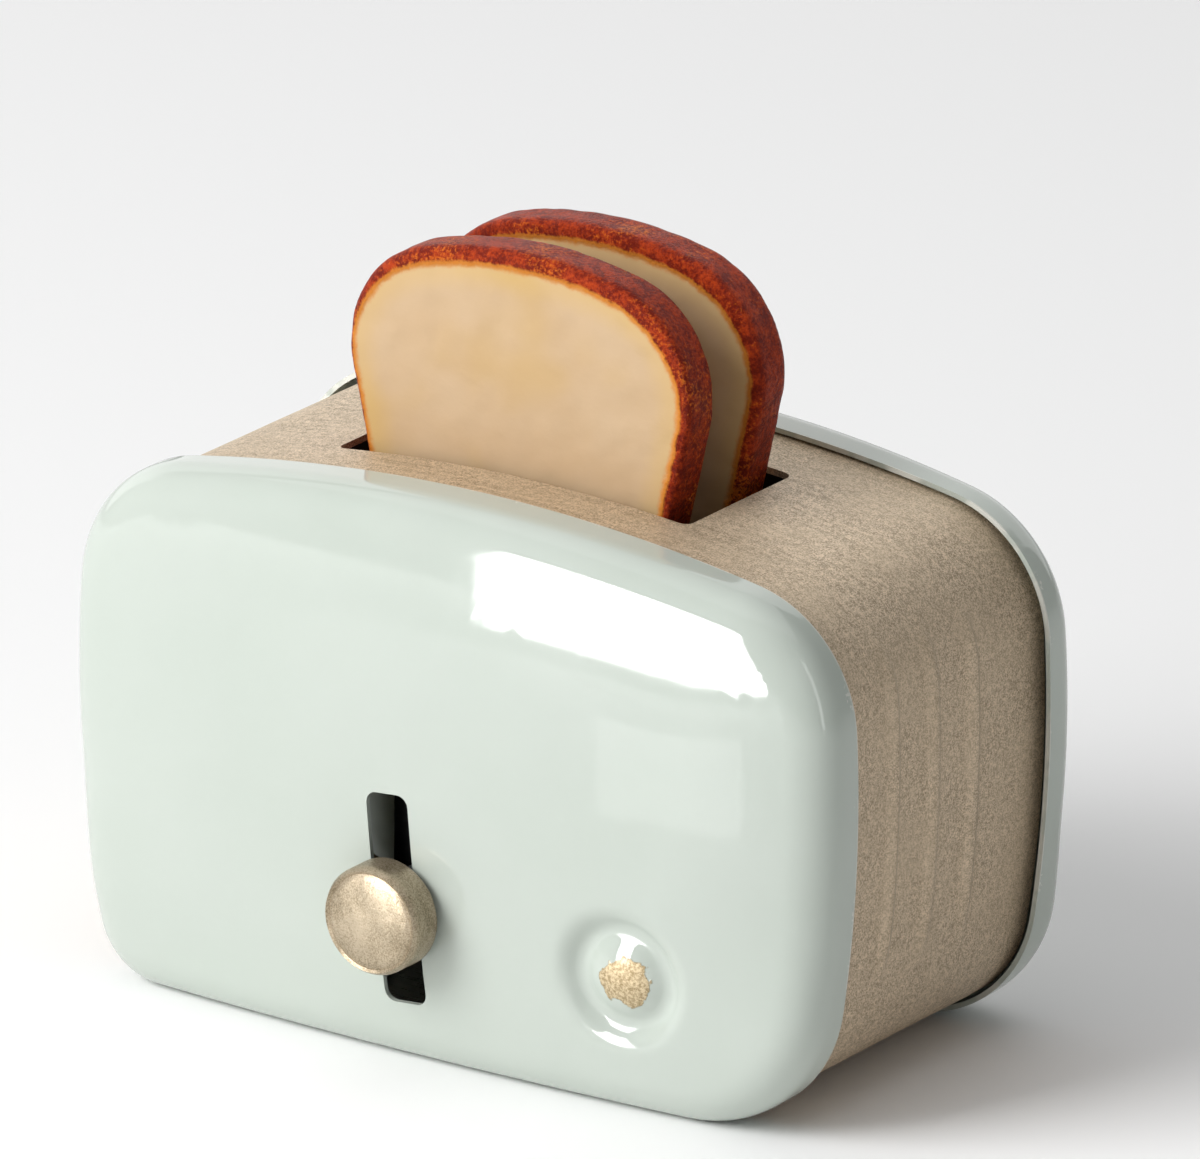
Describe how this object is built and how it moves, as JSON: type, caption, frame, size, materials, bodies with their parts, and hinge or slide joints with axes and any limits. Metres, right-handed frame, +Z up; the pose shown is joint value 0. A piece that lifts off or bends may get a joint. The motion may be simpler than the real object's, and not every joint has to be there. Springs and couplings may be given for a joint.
{
  "type": "toy toaster",
  "caption": "Doll's-house toaster of pressed sheet metal; a knob in the front slot slides to lift the carriage with its loose bread slices.",
  "frame": {"origin": "on the table, below the middle of the box round the toaster, its knob included", "axes": "+X to the right as seen from the front, +Y to the back, +Z up; the lever and the dial are at the front, -Y"},
  "size_m": [0.053, 0.0331, 0.0467],
  "materials": {
    "mint_enamel": "glossy pale mint enamel",
    "champagne_paint": "satin metallic champagne paint with fine speckle",
    "painted_resin": "cast resin, cream crumb with a hand-painted red-brown crust",
    "bright_steel": "plain rolled sheet steel",
    "drawn_steel": "smooth drawn wire",
    "spring_steel": "blued spring strip",
    "zinc_screw": "bright zinc plating",
    "turned_brass": "turned brass"
  },
  "bodies": {
    "casing": {"front_cover": "mint_enamel", "rear_cover": "mint_enamel", "body_band": "champagne_paint", "base_plate": "bright_steel", "front_brackets": "bright_steel", "rear_brackets": "bright_steel", "base_screws": "zinc_screw", "toast_well": "bright_steel", "guide_rod_left": "drawn_steel", "guide_rod_right": "drawn_steel"},
    "carriage": {"lever_knob": "champagne_paint", "lever_stem": "drawn_steel", "lever_washer": "zinc_screw", "lever_clip": "spring_steel", "carriage_arm": "bright_steel", "arm_rivets": "turned_brass", "carriage_tray": "bright_steel", "bush_left": "turned_brass", "bush_right": "turned_brass", "friction_spring": "spring_steel", "spring_rivet": "turned_brass"},
    "toast_front": {"toast_slice_front": "painted_resin"},
    "toast_rear": {"toast_slice_rear": "painted_resin"}
  },
  "joints": [
    {"name": "lever_slide", "type": "slide", "parent": "casing", "child": "carriage", "axis": [0, 0, 1], "range_m": [-0.0046, 0.0058]},
    {"name": "toast_front_lift", "type": "slide", "parent": "carriage", "child": "toast_front", "axis": [0, 0, 1], "range_m": [0, 0.026]},
    {"name": "toast_rear_lift", "type": "slide", "parent": "carriage", "child": "toast_rear", "axis": [0, 0, 1], "range_m": [0, 0.026]}
  ]
}
